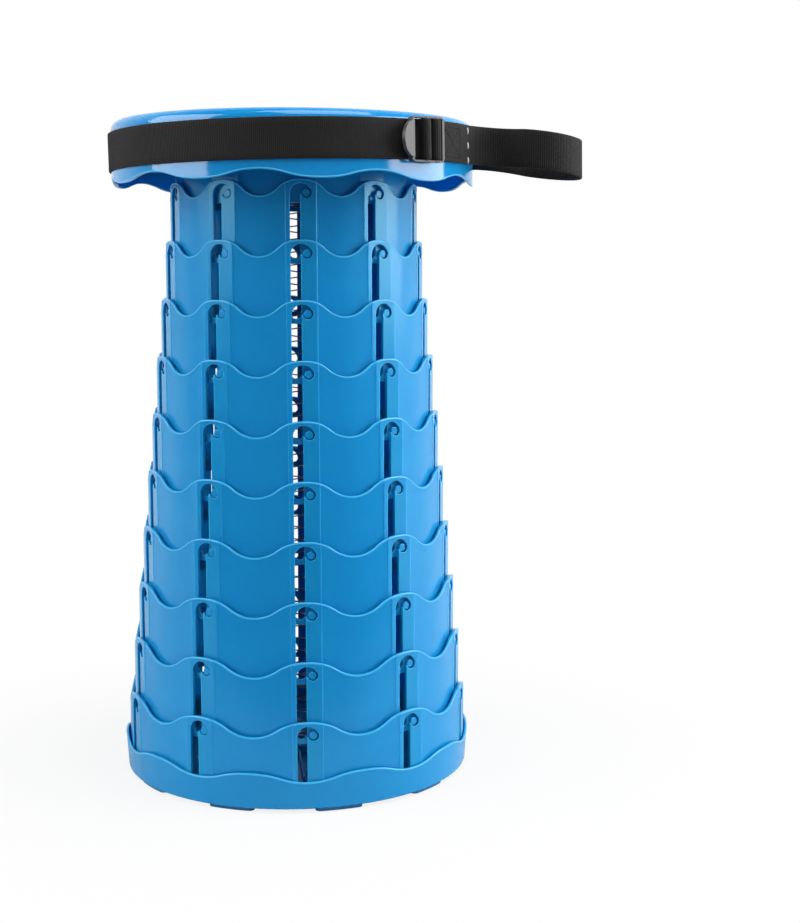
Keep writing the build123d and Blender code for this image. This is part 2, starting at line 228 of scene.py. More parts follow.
@dataclass(frozen=True)
class MouldedPlastic(Finish):
    """Moulded plastic: rounded edges that catch the light and carry a painted highlight, faint
    clouds and a fine grain.
    """

    name: str
    colour: Colour
    cloud: Colour
    # edge: a lighter colour painted along rounded edges as a highlight
    edge: Colour
    roughness: float
    rounding: float
    edge_highlight_share: float = 0.5
    grain: float = 0.06
    gloss: Colour = (1, 1, 1, 1)
    shine: float = 0.5
    glow: float = 0.0
    cloud_scale: float = 16.0
    cloud_floor: float = 0.35
    cloud_gain: float = 2.2
    cloud_matt: float = 0.12
    grain_scale: float = 1400.0
    grain_depth: float = 0.2 * MM
    grain_matt: float = 0.06
    edge_highlight_gain: float = 4.0
    scatter: float = 4.0 * MM
    scatter_share: tuple[float, float, float] = (0.25, 0.8, 1.0)

    def material(self) -> bpy.types.Material:
        """The finish as a material."""
        graph = self.start()
        place = graph.field("ShaderNodeTexCoord", output="Object")
        clouds = graph.noise(place, self.cloud_scale, 4.0)
        grain = graph.noise(place, self.grain_scale, 2.0)
        rounded = graph.field("ShaderNodeBevel", {"samples": 6}, {"Radius": self.rounding})
        surface = graph.field("ShaderNodeNewGeometry", output="Normal")
        along = graph.field(
            "ShaderNodeVectorMath",
            {"operation": "DOT_PRODUCT"},
            {0: rounded, 1: surface},
            output="Value",
        )
        # painted highlight: where the rounded normal turns from the surface's own, the colour moves
        # towards the lighter edge colour
        edge = ((1 - along) * self.edge_highlight_gain).clamped() * self.edge_highlight_share
        cloudiness = ((clouds - self.cloud_floor) * self.cloud_gain).clamped()
        body = graph.blend(cloudiness, self.colour, self.cloud)
        bump = graph.field("ShaderNodeBump", values={
            "Height": grain,
            "Strength": self.grain,
            "Distance": self.grain_depth,
            "Normal": rounded,
        })
        matt = self.roughness + (clouds - 0.5) * self.cloud_matt + (grain - 0.5) * self.grain_matt
        return self.close(graph, {
            "Base Color": graph.blend(edge, body, self.edge),
            "Roughness": matt,
            "Normal": bump,
            "Specular Tint": self.gloss,
            "Specular IOR Level": self.shine,
            "Subsurface Weight": self.glow,
            "Subsurface Radius": self.scatter_share,
            "Subsurface Scale": self.scatter,
        })


@dataclass(frozen=True)
class Webbing(Finish):
    """Ribbed webbing, woven across its length, with painted shade in the grooves between ribs;
    reads the strip's length and width in metres.
    """

    name: str
    yarn: Colour
    groove_shade: Colour
    rib: float
    line: float
    fuzz_scale: float = 700.0
    wear_scale: float = 45.0
    rib_share: float = 0.7
    line_share: float = 0.12
    fuzz_share: float = 0.4
    wear_share: float = 0.25
    relief: float = 0.25 * MM

    def material(self) -> bpy.types.Material:
        """The finish as a material."""
        graph = self.start()
        lay = graph.field("ShaderNodeUVMap", {"uv_map": WEBBING_UV})
        parts = graph.node("ShaderNodeSeparateXYZ", values={"Vector": lay})
        along = Field(graph, parts.outputs[0])
        across = Field(graph, parts.outputs[1])
        place = graph.field("ShaderNodeTexCoord", output="Object")
        fuzz = graph.noise(place, self.fuzz_scale, 3.0)
        wear = graph.noise(place, self.wear_scale, 3.0)
        ribs = 0.5 + 0.5 * (along * (2 * math.pi / self.rib)).sine()
        lines = 0.5 + 0.5 * (across * (2 * math.pi / self.line)).sine()
        woven = ribs * self.rib_share + lines * self.line_share
        weave = (woven + fuzz * self.fuzz_share + (wear - 0.5) * self.wear_share).clamped()
        return self.close(graph, {
            # painted shade: grooves between ribs take the dark groove colour and rib tops the yarn
            # colour; fuzz and wear add random tone
            "Base Color": graph.blend(weave, self.groove_shade, self.yarn),
            "Roughness": 0.82 - weave * 0.2,
            "Normal": graph.bump(weave, 0.55, self.relief),
            "Sheen Weight": 0.05,
            "Sheen Roughness": 0.45,
            "Specular IOR Level": 0.15,
        })


@dataclass(frozen=True)
class Thread(Finish):
    """Twisted sewing thread."""

    name: str
    colour: Colour
    shade: Colour
    twist_scale: float = 900.0

    def material(self) -> bpy.types.Material:
        """The finish as a material."""
        graph = self.start()
        place = graph.field("ShaderNodeTexCoord", output="Object")
        twist = graph.field(
            "ShaderNodeTexWave",
            {"bands_direction": "DIAGONAL"},
            {"Vector": place, "Scale": self.twist_scale, "Distortion": 1.5},
        )
        return self.close(graph, {
            "Base Color": graph.blend(twist, self.shade, self.colour),
            "Roughness": 0.75 - twist * 0.1,
            "Normal": graph.bump(twist, 0.4, 0.1 * MM),
        })


@dataclass(frozen=True)
class Wire(Finish):
    """Drawn steel wire with fine lines and dull spots."""

    name: str
    colour: Colour
    dull: Colour
    spot_scale: float = 120.0
    line_scale: float = 2500.0

    def material(self) -> bpy.types.Material:
        """The finish as a material."""
        graph = self.start()
        place = graph.field("ShaderNodeTexCoord", output="Object")
        spots = graph.noise(place, self.spot_scale, 4.0)
        lines = graph.noise(place, self.line_scale, 2.0)
        return self.close(graph, {
            "Base Color": graph.blend(((spots - 0.4) * 3.0).clamped(), self.colour, self.dull),
            "Metallic": 1.0,
            "Roughness": 0.32 + (spots - 0.5) * 0.3,
            "Normal": graph.bump(lines, 0.1, 0.05 * MM),
        })


class ShapeTree:
    """A Geometry Nodes tree with named sizes that ends in a realized, finished mesh."""

    def __init__(self, name: str, sizes: Mapping[str, Number]) -> None:
        """Starts the tree.

        Args:
            name: The tree's name.
            sizes: Its inputs' names and usual values; whole numbers become counts.
        """
        self.tree = bpy.data.node_groups.new(name, "GeometryNodeTree")
        self.graph = Graph(self.tree)
        face = self.tree.interface
        face.new_socket("Geometry", in_out="OUTPUT", socket_type="NodeSocketGeometry")
        face.new_socket("Geometry", in_out="INPUT", socket_type="NodeSocketGeometry")
        self.identifiers: dict[str, str] = {}
        for label, value in sizes.items():
            kind = "NodeSocketInt" if isinstance(value, int) else "NodeSocketFloat"
            socket = face.new_socket(label, in_out="INPUT", socket_type=kind)
            socket.default_value = value
            self.identifiers[label] = socket.identifier
        self.entry = self.graph.node("NodeGroupInput")

    def size(self, label: str) -> Field:
        """One of the tree's inputs."""
        return Field(self.graph, self.entry.outputs[label])

    def close(self, shape: Field, material: bpy.types.Material) -> "ShapeTree":
        """Ends the tree.

        Args:
            shape: The geometry that it makes.
            material: The finish that the geometry gets.

        Returns:
            The tree itself.
        """
        smooth = self.graph.field("GeometryNodeSetShadeSmooth", values={"Geometry": shape})
        real = self.graph.field("GeometryNodeRealizeInstances", values={"Geometry": smooth})
        dressed = {"Geometry": real, "Material": material}
        made = self.graph.field("GeometryNodeSetMaterial", values=dressed)
        self.graph.node("NodeGroupOutput", values={"Geometry": made})
        return self

    def grow(self, name: str, start: bpy.types.Mesh, **sizes: Number) -> bpy.types.Object:
        """Runs the tree on a mesh.

        Args:
            name: The new piece's name.
            start: The mesh that the tree works on.
            sizes: Inputs that differ from the tree's usual values, spaces as underscores.

        Returns:
            A plain mesh object.
        """
        piece = add_object(name, start)
        modifier = piece.modifiers.new(self.tree.name, "NODES")
        modifier.node_group = self.tree
        for label, value in sizes.items():
            modifier[self.identifiers[label.replace("_", " ")]] = value
        shapes = bpy.context.evaluated_depsgraph_get()
        mesh = bpy.data.meshes.new_from_object(piece.evaluated_get(shapes))
        piece.modifiers.clear()
        piece.data = mesh
        mesh.name = name
        return piece


def add_object(name: str, data: bpy.types.ID) -> bpy.types.Object:
    """Links a new object at the origin."""
    piece = bpy.data.objects.new(name, data)
    bpy.context.scene.collection.objects.link(piece)
    return piece


def line_mesh(name: str, runs: Sequence[np.ndarray], closed: bool = False) -> bpy.types.Mesh:
    """Edges along one or more runs of points.

    Args:
        name: The mesh's name.
        runs: Points in millimetres.
        closed: Whether each run ends where it starts.

    Returns:
        A mesh of edges, in metres.
    """
    points: list[np.ndarray] = []
    edges: list[tuple[int, int]] = []
    for run in runs:
        first = len(points)
        points.extend(np.asarray(run, float) * MM)
        last = len(points) - 1
        edges.extend((index, index + 1) for index in range(first, last))
        if closed:
            edges.append((last, first))
    mesh = bpy.data.meshes.new(name)
    mesh.from_pydata([tuple(point) for point in points], edges, [])
    return mesh


def settle(piece: bpy.types.Object, body: str) -> None:
    """Lets a piece ride on a body."""
    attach(piece, body)
    log.info("%s rides on %s, %d faces", piece.name, body, len(piece.data.polygons))


def dress(names: Sequence[str], material: bpy.types.Material) -> None:
    """Gives the frame's own nodes a finish."""
    for name in names:
        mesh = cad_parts[name].data
        mesh.materials.clear()
        mesh.materials.append(material)
        log.info("%s dressed in %s", name, material.name)


def recast(
    node: str,
    body: str,
    material: bpy.types.Material,
    moved: Callable[[np.ndarray], np.ndarray],
) -> None:
    """Replaces one of the frame's nodes by a merged copy with some points moved.

    Args:
        node: The node's name.
        body: The body that it belongs to.
        material: Its finish.
        moved: Gives each point's new place, in millimetres.
    """
    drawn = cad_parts[node].data
    points = np.zeros(len(drawn.vertices) * 3)
    drawn.vertices.foreach_get("co", points)
    corners = np.zeros(len(drawn.loops), np.int32)
    drawn.loops.foreach_get("vertex_index", corners)
    normals = np.zeros(len(drawn.loops) * 3)
    drawn.corner_normals.foreach_get("vector", normals)
    places = (points.reshape(-1, 3) / MM).round(MERGE_DIGITS)
    points, index = np.unique(places, axis=0, return_inverse=True)
    triangles = index.ravel()[corners].reshape(-1, 3)
    name = f"{node}_moulding"
    mesh = bpy.data.meshes.new(name)
    mesh.from_pydata((moved(points) * MM).tolist(), [], triangles.tolist(), shade_flat=False)
    mesh.normals_split_custom_set(normals.reshape(-1, 3).tolist())
    mesh.materials.append(material)
    piece = add_object(name, mesh)
    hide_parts(node)
    settle(piece, body)


@dataclass
class Wave:
    """One wavy edge round the stool, in millimetres."""

    angles: Sequence[float]
    half_width: float
    middle: float
    end: float
    level: float = 2.0
    points: int = 72

    def turns(self) -> np.ndarray:
        """Angles across one wave, in degrees from its middle."""
        step = 360 / len(self.angles)
        return np.linspace(-step / 2, step / 2, self.points, endpoint=False)

    def height(self, offset: np.ndarray) -> np.ndarray:
        """Height of the edge.

        Args:
            offset: Distances from the wave's middle, along its chord.

        Returns:
            Heights between the wave's middle and its end.
        """
        foot = self.half_width - self.level
        reach = np.minimum(np.abs(offset), foot)
        half = foot / 2
        rise = (self.end - self.middle) / 2
        bend = (half**2 + rise**2) / (2 * abs(rise))
        swing = bend - np.sqrt(bend**2 - np.where(reach < half, reach, foot - reach) ** 2)
        side = math.copysign(1.0, rise)
        return np.where(reach < half, self.middle + side * swing, self.end - side * swing)


@dataclass
class Lip:
    """Rolled lip along wavy edges, in millimetres."""

    radius: float = 0.75
    sink: float = 0.6
    sides: int = 10

    def tree(self, material: bpy.types.Material) -> ShapeTree:
        """Round bar along a closed line."""
        tree = ShapeTree("rolled_lip", {"Lip radius": self.radius * MM, "Sides": self.sides})
        graph = tree.graph
        line = graph.field("GeometryNodeMeshToCurve", values={"Mesh": tree.size("Geometry")})
        section = graph.field(
            "GeometryNodeCurvePrimitiveCircle",
            values={"Resolution": tree.size("Sides"), "Radius": tree.size("Lip radius")},
        )
        sweep = {"Curve": line, "Profile Curve": section}
        return tree.close(graph.field("GeometryNodeCurveToMesh", values=sweep), material)


@dataclass
class RingStack:
    """Ten wavy rings that hang from one another, in millimetres."""

    ring_count: int = 10
    column_count: int = 10
    travel: float = 38.5
    sleeve_radius: float = 80.6
    ring_step: float = 3.77
    column_angle: float = 3.25
    pad_width: float = 20.0
    pad_raise: float = 0.4
    pad_step: float = 0.3
    ring_floor: float = 6.3
    hook_rise: float = 45.0
    crest_rise: float = 8.5
    trough_rise: float = -2.0
    pin_rise: float = 6.5
    pin_offset: float = 3.65
    pin_reach: float = 3.35
    pin_share: float = 0.86
    pin_drop: float = 0.35
    pin_push: float = 0.2

    @property
    def columns(self) -> list[float]:
        """Angles of the columns of slots."""
        return [self.column_angle + 360 / self.column_count * n for n in range(self.column_count)]

    def radius(self, ring: int) -> float:
        """Outside radius of a ring."""
        return self.sleeve_radius + ring * self.ring_step

    def bottom(self, ring: int) -> float:
        """Height of a ring's lower edge."""
        return self.ring_floor + (self.ring_count - ring) * self.travel

    def body(self, ring: int) -> str:
        """Body that a ring belongs to."""
        return Body.BASE.value if ring == self.ring_count else f"ring_{ring:02d}_body"

    def wall(self, ring: int, turn: np.ndarray) -> np.ndarray:
        """Distance of a ring's outside from the axis.

        Args:
            ring: The ring's number.
            turn: Angles from the nearest column, in degrees.

        Returns:
            Distances, larger on the flat pads.
        """
        radius = self.radius(ring)
        side = self.pad_width / 2
        face = radius + self.pad_raise
        low = face - self.pad_step
        way = np.radians(np.abs(turn))
        run_out = math.atan2(side, low) + math.acos(radius / math.hypot(side, low))
        slope = np.where(way < run_out, radius / np.cos(run_out - way), radius)
        return np.where(way <= math.atan2(side, face), face / np.cos(way), slope)

    def edge(self, ring: int, lip: Lip) -> np.ndarray:
        """Line of a ring's lip.

        Args:
            ring: The ring's number.
            lip: The lip that follows the line.

        Returns:
            Points round the ring.
        """
        reach = math.hypot(self.radius(ring) + self.pad_raise, self.pad_width / 2)
        step = 360 / self.column_count
        wave = Wave(
            [angle + step / 2 for angle in self.columns],
            reach * math.sin(math.radians(step / 2)),
            self.hook_rise + self.trough_rise,
            self.hook_rise + self.crest_rise,
        )
        turn = wave.turns()
        distance = self.wall(ring, step / 2 - np.abs(turn))
        height = self.bottom(ring) + wave.height(distance * np.sin(np.radians(turn))) - lip.sink
        return around(wave.angles, turn, distance - lip.sink, height)

    def build(self, lip: Lip, tree: ShapeTree) -> None:
        """Adds the rings' lips."""
        for ring in range(1, self.ring_count + 1):
            name = f"ring_{ring:02d}_lip"
            line = line_mesh(name, [self.edge(ring, lip)], closed=True)
            settle(tree.grow(name, line), self.body(ring))

    def slim_pins(self, ring: int, points: np.ndarray) -> np.ndarray:
        """Makes a ring's pins slimmer and longer, so that they fill their hooks from below.

        Args:
            ring: The ring's number, 0 for the seat's sleeve.
            points: The ring's points.

        Returns:
            The points, with those of the pins moved.
        """
        result = points.copy()
        rise = points[:, 2] - self.bottom(ring) - self.pin_rise
        for angle in self.columns:
            turn = math.radians(angle)
            along = np.array([math.cos(turn), math.sin(turn), 0])
            outward = np.array([math.sin(turn), -math.cos(turn), 0])
            aside = points @ along - self.pin_offset
            proud = points @ outward - self.radius(ring)
            pin = (proud > -self.pad_step) & (np.hypot(aside, rise) < self.pin_reach)
            tip = pin & (proud > self.ring_step / 2)
            shrink = (self.pin_share - 1) * pin
            result += (aside * shrink)[:, None] * along
            result += (self.pin_push * tip)[:, None] * outward
            result[:, 2] += rise * shrink - self.pin_drop * pin
        return result

    def dress(self, material: bpy.types.Material) -> None:
        """Makes the seat's sleeve and the rings; the last ring has no pins and stays as drawn."""
        nodes = {"seat_sleeve": Body.SEAT.value}
        nodes |= {f"ring_{ring:02d}": self.body(ring) for ring in range(1, self.ring_count)}
        for ring, (node, body) in enumerate(nodes.items()):
            recast(node, body, material, partial(self.slim_pins, ring))
        dress([f"ring_{self.ring_count:02d}"], material)


def around(
    angles: Sequence[float],
    turn: np.ndarray,
    distance: np.ndarray,
    height: np.ndarray,
) -> np.ndarray:
    """Points round the axis, one wave after another.

    Args:
        angles: Middle of each wave, in degrees from the front.
        turn: Angles from a wave's middle.
        distance: Distances from the axis.
        height: Heights above the floor.

    Returns:
        Points in millimetres.
    """
    waves = []
    for angle in angles:
        way = np.radians(angle + turn)
        across, ahead = distance * np.sin(way), -distance * np.cos(way)
        waves.append(np.stack([across, ahead, height], axis=1))
    return np.concatenate(waves)


@dataclass
class BaseTray:
    """Tray that the rings drop into, in millimetres."""

    bottom_radius: float = 119.95
    flare: float = 1.6
    low: float = 2.6
    top: float = 28.0
    rim_crest: float = 26.5
    rim_trough: float = 20.9

    def build(self, rings: RingStack, lip: Lip, tree: ShapeTree) -> None:
        """Adds the lip of the tray's wavy rim."""
        step = 360 / rings.column_count
        rim = self.bottom_radius + self.flare
        half_width = rim * math.sin(math.radians(step / 2))
        wave = Wave(rings.columns, half_width, self.rim_trough, self.rim_crest)
        turn = wave.turns()
        height = wave.height(rim * np.sin(np.radians(turn)))
        distance = self.bottom_radius + self.flare * (height - self.low) / (self.top - self.low)
        line = around(wave.angles, turn, distance - lip.sink, height - lip.sink)
        piece = tree.grow("tray_rim_lip", line_mesh("tray_rim_lip", [line], closed=True))
        settle(piece, Body.BASE.value)

    def dress(self, plastic: bpy.types.Material, feet: bpy.types.Material) -> None:
        """Gives the tray and its feet their finishes."""
        dress(["base_tray"], plastic)
        dress(["foot_pads"], feet)


@dataclass
class Seat:
    """Seat shell with a wavy skirt and a round cap, in millimetres."""

    radius: float = 123.5
    skirt_low: float = 404.9
    skirt_wave: float = 5.2
    skirt_lead: float = 4.55
    cap_radius: float = 59.5
    seam_room: float = 0.45

    def eased(self, points: np.ndarray) -> np.ndarray:
        """Draws the cap's rim in, so that its seam shows as a dark line.

        Args:
            points: The cap's points as drawn.

        Returns:
            The same points, with those of the rim nearer to the axis.
        """
        reach = np.maximum(np.hypot(points[:, 0], points[:, 1]), 1)
        rim = reach > self.cap_radius - self.seam_room
        share = 1 - rim * self.seam_room / reach
        return points * np.stack([share, share, np.ones_like(share)], axis=1)

    def build(self, rings: RingStack, lip: Lip, tree: ShapeTree) -> None:
        """Adds the lip of the seat's wavy skirt."""
        step = 360 / rings.column_count
        notches = [angle + self.skirt_lead + step / 2 for angle in rings.columns]
        half_width = self.radius * math.sin(math.radians(step / 2))
        wave = Wave(notches, half_width, self.skirt_low + self.skirt_wave, self.skirt_low)
        turn = wave.turns()
        height = wave.height(self.radius * np.sin(np.radians(turn)))
        distance = np.full_like(turn, self.radius - lip.sink)
        line = around(wave.angles, turn, distance, height + lip.sink)
        piece = tree.grow("seat_skirt_lip", line_mesh("seat_skirt_lip", [line], closed=True))
        settle(piece, Body.SEAT.value)

    def dress(self, plastic: bpy.types.Material) -> None:
        """Gives the seat's pieces their finish."""
        dress(["seat_shell"], plastic)
        recast("seat_cap", Body.SEAT.value, plastic, self.eased)


@dataclass
class Spring:
    """Long coil spring on the axis, in millimetres."""

    radius: float = 9.6
    wire: float = 0.9
    turns: int = 49
    foot: float = 5.8
    head: float = 444.6
    folded_drop: float = 385.0
    sides: int = 8
    points_per_turn: int = 28

    def build(self, material: bpy.types.Material) -> None:
        """Makes the spring, with a closed turn at either end."""
        coil_low = self.foot + 1.5 * self.wire
        coil_height = self.head - 1.5 * self.wire - coil_low
        tree = ShapeTree("coil_spring", {
            "Coil radius": self.radius * MM,
            "Wire radius": self.wire / 2 * MM,
            "Turns": float(self.turns),
            "Low": coil_low * MM,
            "Height": coil_height * MM,
            "Wire": self.wire * MM,
        })
        graph = tree.graph
        section = graph.field(
            "GeometryNodeCurvePrimitiveCircle",
            values={"Resolution": self.sides, "Radius": tree.size("Wire radius")},
        )
        low = tree.size("Low")
        height = tree.size("Height")
        wire = tree.size("Wire")
        coils = []
        open_coil = (tree.size("Turns"), low, height)
        closed_ends = ((1.0, low - wire, wire), (1.0, low + height, wire))
        for turns, start, rise in (open_coil, *closed_ends):
            spiral = graph.field("GeometryNodeCurveSpiral", values={
                "Resolution": self.points_per_turn,
                "Rotations": turns,
                "Start Radius": tree.size("Coil radius"),
                "End Radius": tree.size("Coil radius"),
                "Height": rise,
            })
            lift = graph.field("ShaderNodeCombineXYZ", values={"Z": start})
            coils.append(graph.field(
                "GeometryNodeTransform", values={"Geometry": spiral, "Translation": lift}
            ))
        line = graph.field("GeometryNodeJoinGeometry", values={"Geometry": coils})
        tube = graph.field(
            "GeometryNodeCurveToMesh",
            values={"Curve": line, "Profile Curve": section, "Fill Caps": True},
        )
        tree.close(tube, material)
        piece = tree.grow("coil_spring_wire", bpy.data.meshes.new("coil_spring_wire"))
        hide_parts("coil_spring")
        settle(piece, Body.BASE.value)
        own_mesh(piece)


def arc(start: Point, heading: Point, end: Point, steps: int = 24) -> np.ndarray:
    """Arc that leaves a point in a given direction.

    Args:
        start: First point.
        heading: Direction at the first point.
        end: Last point.
        steps: Number of runs.

    Returns:
        Points along the arc.
    """
    first = np.array(start, float)
    ahead = np.array(heading, float) / np.hypot(*heading)
    chord = np.array(end, float) - first
    side = np.array([-ahead[1], ahead[0]])
    bend = chord @ chord / (2 * (chord @ side))
    centre = first + side * bend
    total = 2 * math.atan2(chord @ side, chord @ ahead)
    turns = np.linspace(0, total, steps + 1)
    spoke = first - centre
    cosine, sine = np.cos(turns), np.sin(turns)
    turned = [spoke[0] * cosine - spoke[1] * sine, spoke[0] * sine + spoke[1] * cosine]
    return centre + np.stack(turned, axis=1)


def bezier(
    start: Point, start_pull: Point, end_pull: Point, end: Point, steps: int = 24
) -> np.ndarray:
    """Smooth curve between two points with a pull at each."""
    share = np.linspace(0, 1, steps + 1)[:, None]
    rest = 1 - share
    pulls = [np.array(point, float) for point in (start, start_pull, end_pull, end)]
    return (rest**3 * pulls[0] + 3 * rest**2 * share * pulls[1]
            + 3 * rest * share**2 * pulls[2] + share**3 * pulls[3])


def joined(*runs: np.ndarray) -> np.ndarray:
    """Runs of points one after another, each starting where the last one ends."""
    return np.concatenate([runs[0], *[run[1:] for run in runs[1:]]])


@dataclass
class WebbingStraps:
    """Band round the seat and carry loop through two buckles, in millimetres.

    Plan points have x along the rim from the handle's middle and y away from the stool's axis.
    """

    width: float = 25.4
    thickness: float = 1.4
    slack: float = 0.06
    middle: float = 428.5
    tilt: float = 1.0
    seat_radius: float = 123.5
    inner: float = 123.85
    handle_angle: float = 82.0
    buckle_lead: float = 43.15
    fixed_bar: float = 12.35
    middle_bar: float = 3.75
    bar_rise: float = 4.6
    wrap_radius: float = 3.25
    tack_lead: float = 16.0
    loop_reach: float = 71.0
    loop_width: float = 55.0
    loop_waist: float = 40.0
    loop_drop: float = 9.0
    loop_roll: float = 0.055
    drop_power: float = 1.15
    bar_pull: float = 2.6
    rim_pull: float = 0.1
    band_leave: float = -6.5
    band_pull: float = 3.2
    band_end: float = -115.0
    loop_leave: float = 1.2
    loop_arrive: float = 2.4
    under_pull: float = 3.0
    under_lift: float = 0.4
    rib: float = 1.2
    rib_depth: float = 0.07
    edge_points: int = 4
    face_points: int = 6

    def on_rim(self, radius: float, start: float, end: float) -> np.ndarray:
        """Plan points on a circle round the axis, between two angles from the handle's middle."""
        turn = np.radians(np.linspace(start, end, max(3, int(abs(end - start)))))
        return np.stack([radius * np.sin(turn), radius * np.cos(turn)], axis=1)

    def from_buckle(self, points: np.ndarray) -> np.ndarray:
        """Turns points at a buckle, x towards the handle and y outwards, into plan points."""
        lead = math.radians(self.buckle_lead)
        outward = np.array([math.sin(lead), math.cos(lead)])
        towards = np.array([-math.cos(lead), math.sin(lead)])
        return outward * (self.seat_radius + points[:, 1:]) + towards * points[:, :1]

    def rim_at(self, radius: float, along: float) -> Point:
        """Point of a circle round the axis, seen from a buckle."""
        return along, math.sqrt(radius**2 - along**2) - self.seat_radius

    def rim_lead(self, radius: float, along: float) -> float:
        """Angle from the handle's middle to a point beside a buckle."""
        return self.buckle_lead - math.degrees(math.asin(along / radius))

    def bar_turn(self, bar: float, start: float, end: float) -> np.ndarray:
        """Webbing round a buckle's bar, between two angles."""
        turn = np.radians(np.linspace(start, end, 40))
        along = bar + self.wrap_radius * np.cos(turn)
        rise = self.bar_rise + self.wrap_radius * np.sin(turn)
        return np.stack([along, rise], axis=1)

    def band_half(self) -> np.ndarray:
        """Half of the band: from the side away from the handle to the buckle's middle bar."""
        radius = self.inner + self.thickness / 2
        left = self.middle_bar - self.wrap_radius
        foot = self.rim_at(radius, self.band_leave)
        rise = bezier(
            foot,
            (self.band_leave + self.band_pull, foot[1] + self.rim_pull),
            (left, self.bar_rise - self.bar_pull),
            (left, self.bar_rise),
        )
        over = self.bar_turn(self.middle_bar, 180, self.band_end)
        return joined(
            self.on_rim(radius, 180, self.rim_lead(radius, self.band_leave)),
            self.from_buckle(joined(rise, over)),
        )

    def loop_half(self) -> np.ndarray:
        """Half of the carry loop: from its tip round the fixed bar and back under itself."""
        outer = self.inner + 1.5 * self.thickness
        under = self.inner + self.thickness / 2
        tack = math.radians(self.tack_lead)
        foot = (outer * math.sin(tack), outer * math.cos(tack))
        waist_x = self.loop_waist / 2
        crown_x = self.loop_width / 2
        crown_y = outer + self.loop_reach - crown_x
        slope = math.tan(math.radians(45 - self.tack_lead / 2))
        waist_y = foot[1] + (foot[0] - waist_x) / slope
        leg = ((waist_x + crown_x) / 2, (waist_y + crown_y) / 2)
        right = self.fixed_bar + self.wrap_radius
        leave = right + self.loop_leave
        arrive = right + self.loop_arrive
        start = self.rim_at(outer, leave)
        back = self.rim_at(under, arrive)
        lowest = (self.fixed_bar, self.bar_rise - self.wrap_radius)
        rise = bezier(
            start,
            (right, start[1] + self.rim_pull),
            (right, self.bar_rise - self.bar_pull),
            (right, self.bar_rise),
        )
        tuck = bezier(
            lowest,
            (lowest[0] + self.under_pull, lowest[1]),
            (arrive - self.under_pull, back[1] + self.under_lift),
            back,
        )
        return joined(
            arc((0, outer + self.loop_reach), (1, 0), (crown_x, crown_y), 40),
            arc((crown_x, crown_y), (0, -1), leg),
            arc((waist_x, waist_y), (0, 1), leg)[::-1],
            arc((waist_x, waist_y), (0, -1), foot, 36),
            self.on_rim(outer, self.tack_lead, self.rim_lead(outer, leave)),
            self.from_buckle(joined(rise, self.bar_turn(self.fixed_bar, 0, 270), tuck)),
            self.on_rim(under, self.rim_lead(under, arrive), self.tack_lead + 1.0),
        )

    def drop(self, plan: np.ndarray) -> np.ndarray:
        """How far the loop hangs below the band at plan points."""
        reach = np.clip((plan[:, 1] - self.inner) / self.loop_reach, 0, None)
        roll = self.loop_roll * plan[:, 0] * np.clip(reach * 2, 0, 1)
        return self.loop_drop * reach**self.drop_power + roll

    @property
    def right(self) -> np.ndarray:
        """Direction along the rim at the handle's middle."""
        turn = math.radians(self.handle_angle)
        return np.array([math.cos(turn), math.sin(turn), 0])

    @property
    def outward(self) -> np.ndarray:
        """Direction from the axis to the handle's middle."""
        turn = math.radians(self.handle_angle)
        return np.array([math.sin(turn), -math.cos(turn), 0])

    def askew(self, points: np.ndarray) -> np.ndarray:
        """Tilts points with the strap, up at the handle's side."""
        turn = math.radians(self.tilt)
        reach = points @ self.outward
        rise = points @ UP - self.middle
        out_shift = reach * (math.cos(turn) - 1) - rise * math.sin(turn)
        up_shift = reach * math.sin(turn) + rise * (math.cos(turn) - 1)
        return points + out_shift[..., None] * self.outward + up_shift[..., None] * UP

    def section(self) -> np.ndarray:
        """Outline of the webbing: place across its width and depth, corners round."""
        half_width = self.width / 2
        half_depth = self.thickness / 2 - self.slack
        turn = np.linspace(90, -90, self.edge_points + 1)
        flat = half_width - half_depth
        round_way, round_rise = np.cos(np.radians(turn)), np.sin(np.radians(turn))
        nose = np.stack([flat + half_depth * round_way, half_depth * round_rise], axis=1)
        face = np.linspace(-flat, flat, self.face_points + 2)[1:-1]
        top = np.stack([face, np.full_like(face, half_depth)], axis=1)
        return np.concatenate([top, nose, -top, -nose])

    def strip(self, name: str, half: np.ndarray, material: bpy.types.Material) -> bpy.types.Object:
        """Sweeps the webbing along half a path and its mirror image.

        Args:
            name: The piece's name.
            half: Plan points from the mirror's plane to the end.
            material: The finish.

        Returns:
            The strip.
        """
        plan = np.concatenate([half[:0:-1] * [-1, 1], half])
        runs = np.hypot(*np.diff(plan, axis=0).T)
        along = np.concatenate([[0], np.cumsum(runs)])
        count = int(along[-1] / (self.rib / 4))
        station = np.linspace(0, along[-1], count + 1)
        plan = np.stack([np.interp(station, along, line) for line in plan.T], axis=1)
        ahead = np.gradient(plan, axis=0)
        ahead /= np.hypot(*ahead.T)[:, None]
        facing = np.stack([ahead[:, 1], -ahead[:, 0]], axis=1)
        right, outward = self.right, self.outward
        height = self.middle - self.drop(plan)
        middle = plan[:, :1] * right + plan[:, 1:] * outward + height[:, None] * UP
        normal = facing[:, :1] * right + facing[:, 1:] * outward
        outline = self.section()
        ribs = self.rib_depth * np.cos(2 * np.pi * station / self.rib)[:, None, None]
        depth = outline[None, :, 1:] + np.sign(outline[None, :, 1:].round(3)) * ribs
        points = middle[:, None] + UP * outline[None, :, :1] + normal[:, None] * depth
        mesh = self.skin(name, self.askew(points) * MM, station * MM, outline[:, 0] * MM)
        mesh.materials.append(material)
        return add_object(name, mesh)

